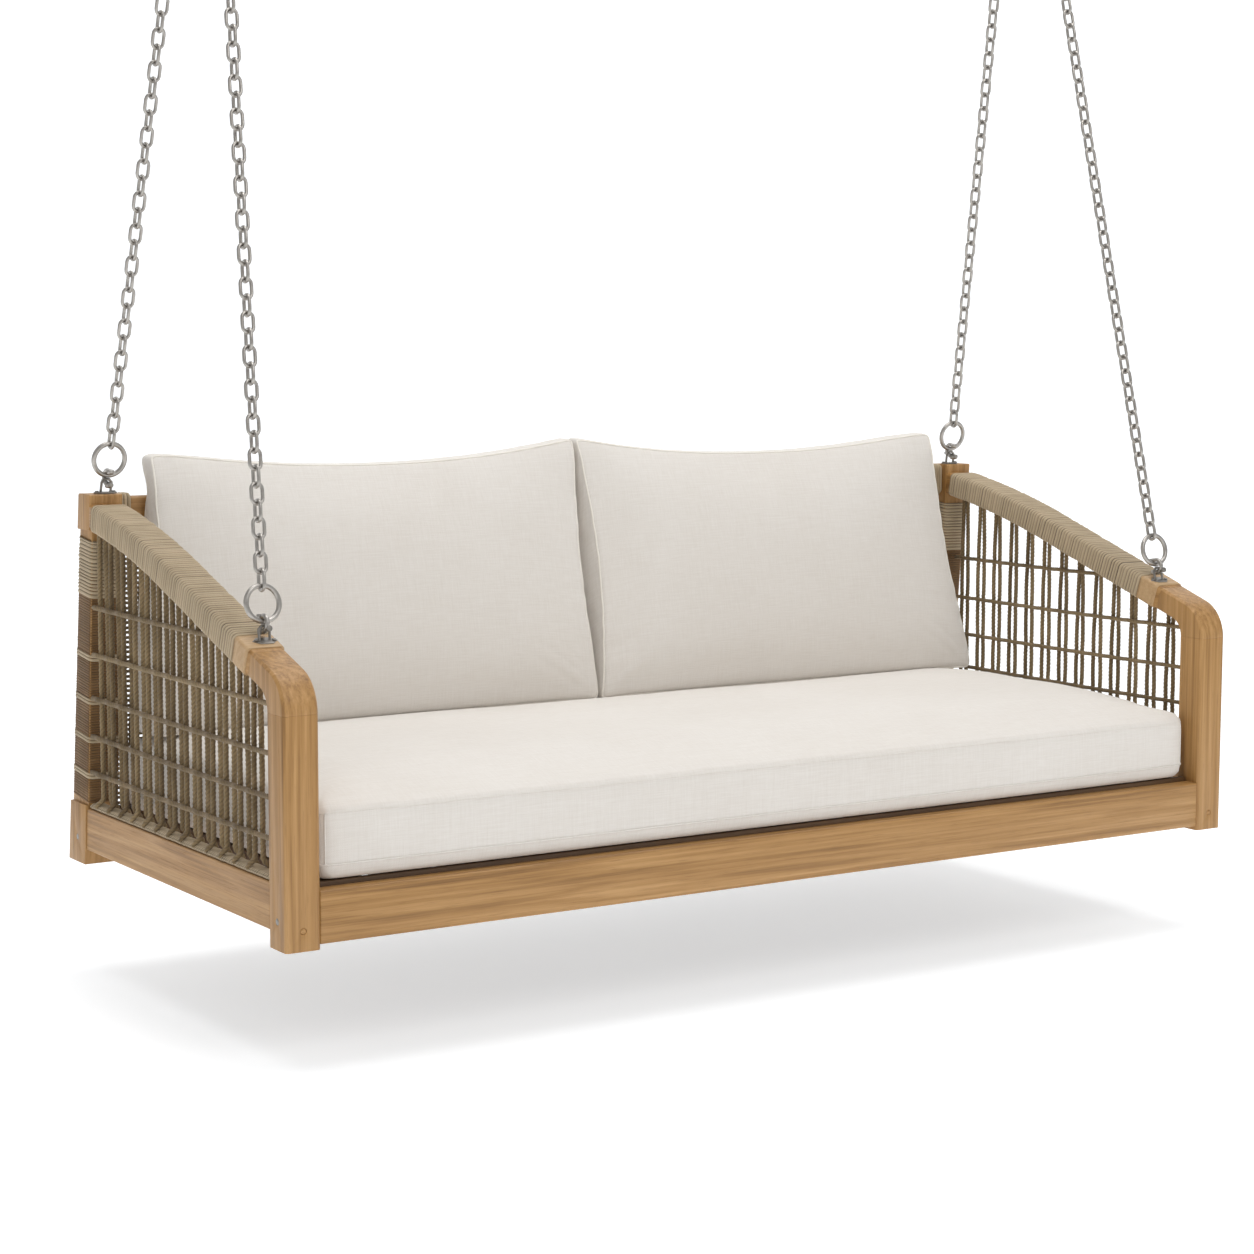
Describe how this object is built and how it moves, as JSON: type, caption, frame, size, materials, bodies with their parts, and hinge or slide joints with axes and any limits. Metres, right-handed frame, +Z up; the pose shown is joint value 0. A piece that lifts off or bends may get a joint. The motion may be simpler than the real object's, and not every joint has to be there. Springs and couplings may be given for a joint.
{
  "type": "porch swing",
  "caption": "Ceiling-hung porch swing with a timber frame, rope-wrapped arms, rope net sides and back, loose seat and back cushions, and chains that meet at a ring on each side.",
  "frame": {"origin": "on the ceiling, midway between the bolt holes of the two ceiling plates, in the plane of their top faces", "axes": "+Z up, +X to the right of someone facing the swing, -Y towards that person"},
  "size_m": [1.836, 0.83, 2.0872],
  "materials": {
    "timber": "oiled",
    "rope": "twisted cord",
    "hardware": "satin",
    "linen": "woven"
  },
  "bodies": {
    "ceiling_mounts": {"left_ceiling_plate": "hardware", "right_ceiling_plate": "hardware", "left_axle_bolt": "hardware", "right_axle_bolt": "hardware", "left_axle_nut": "hardware", "right_axle_nut": "hardware"},
    "hangers": {"left_hanger_eye": "hardware", "right_hanger_eye": "hardware"},
    "left_chains": {"left_front_chain": "hardware", "left_rear_chain": "hardware", "left_lower_rings": "hardware", "left_top_ring": "hardware"},
    "right_chains": {"right_front_chain": "hardware", "right_rear_chain": "hardware", "right_lower_rings": "hardware", "right_top_ring": "hardware"},
    "swing_frame": {"left_front_post": "timber", "right_front_post": "timber", "left_rear_post": "timber", "right_rear_post": "timber", "left_arm_bend": "timber", "right_arm_bend": "timber", "left_arm": "timber", "right_arm": "timber", "left_side_rail": "timber", "right_side_rail": "timber", "left_arm_wrap": "rope", "right_arm_wrap": "rope", "left_post_bands": "rope", "right_post_bands": "rope", "left_foot_rope": "rope", "right_foot_rope": "rope", "left_net_uprights": "rope", "right_net_uprights": "rope", "left_net_rows": "rope", "right_net_rows": "rope", "front_rail": "timber", "rear_rail": "timber", "top_back_rail": "timber", "front_batten": "timber", "rear_batten": "timber", "seat_slats": "timber", "wood_plugs": "timber", "back_rows": "rope", "back_warps": "rope", "top_rail_loops": "rope", "eye_plates": "hardware", "eye_plate_screws": "hardware", "shackles": "hardware", "shackle_pins": "hardware", "frame_screws": "hardware"},
    "seat_pad": {"seat_cushion": "linen"},
    "left_back_pad": {"left_back_cushion": "linen"},
    "right_back_pad": {"right_back_cushion": "linen"}
  },
  "joints": [
    {"name": "swing", "type": "hinge", "parent": "ceiling_mounts", "child": "hangers", "pos_m": [0, 0, -0.04], "axis": [1, 0, 0], "range_deg": [-20, 20]},
    {"name": "sway_left", "type": "hinge", "parent": "hangers", "child": "left_chains", "pos_m": [-0.796, 0, -0.0812], "axis": [0, 0.9531, 0.3026], "range_deg": [-3, 3]},
    {"name": "frame_level", "type": "hinge", "parent": "left_chains", "child": "swing_frame", "pos_m": [-0.87683, -0.02506, -1.50856], "axis": [0, 0.9531, 0.3026], "range_deg": [-3, 3]},
    {"name": "sway_right", "type": "hinge", "parent": "hangers", "child": "right_chains", "pos_m": [0.796, 0, -0.0812], "axis": [0, 0.9531, 0.3026], "range_deg": [-3, 3]},
    {"name": "seat_cushion_out", "type": "slide", "parent": "swing_frame", "child": "seat_pad", "axis": [0, -1, 0], "range_m": [0, 0.25]},
    {"name": "left_back_cushion_up", "type": "slide", "parent": "swing_frame", "child": "left_back_pad", "axis": [0, 0, 1], "range_m": [0, 0.25]},
    {"name": "right_back_cushion_up", "type": "slide", "parent": "swing_frame", "child": "right_back_pad", "axis": [0, 0, 1], "range_m": [0, 0.25]}
  ],
  "couplings": [
    {"joint": "frame_level", "follows": "sway_left", "ratio": -0.90782},
    {"joint": "sway_right", "follows": "sway_left", "ratio": 1}
  ]
}
